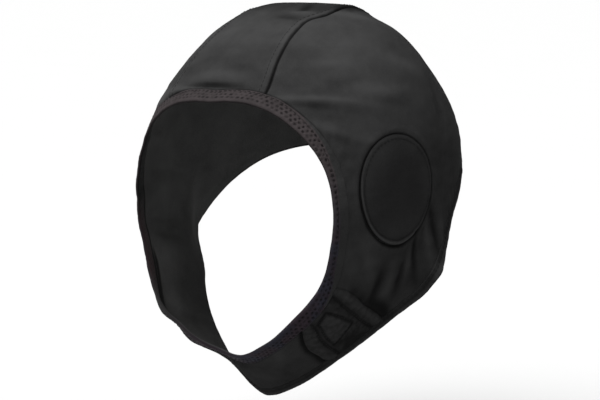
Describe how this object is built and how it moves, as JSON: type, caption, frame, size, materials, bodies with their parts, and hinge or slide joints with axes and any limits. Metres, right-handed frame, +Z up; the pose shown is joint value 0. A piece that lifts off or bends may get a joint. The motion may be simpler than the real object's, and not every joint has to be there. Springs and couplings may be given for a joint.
{
  "type": "wrestling hair cover",
  "caption": "Close stretch-cloth cap with an open face, oval ear patches, a high cut-out at the back of the neck and a wide chin strap fastened by a tab at the jaw.",
  "frame": {"origin": "underside of the crown, where the cap rests on top of the head", "axes": "+Z up, -Y towards the wearer's front, +X towards the wearer's left"},
  "size_m": [0.1908, 0.2023, 0.2405],
  "materials": {
    "stretch_cloth": "satin",
    "ear_cloth": "matte",
    "binding_mesh": "matte",
    "hem_cloth": "matte",
    "hook_fastener": "matte"
  },
  "bodies": {
    "root": {"crown_panel": "stretch_cloth", "side_panel_left": "stretch_cloth", "side_panel_right": "stretch_cloth", "ear_patch_left": "ear_cloth", "ear_patch_right": "ear_cloth", "chin_strap": "stretch_cloth", "closure_tab": "stretch_cloth", "hook_patch": "hook_fastener", "face_binding": "binding_mesh", "neck_hem": "hem_cloth"}
  },
  "joints": []
}
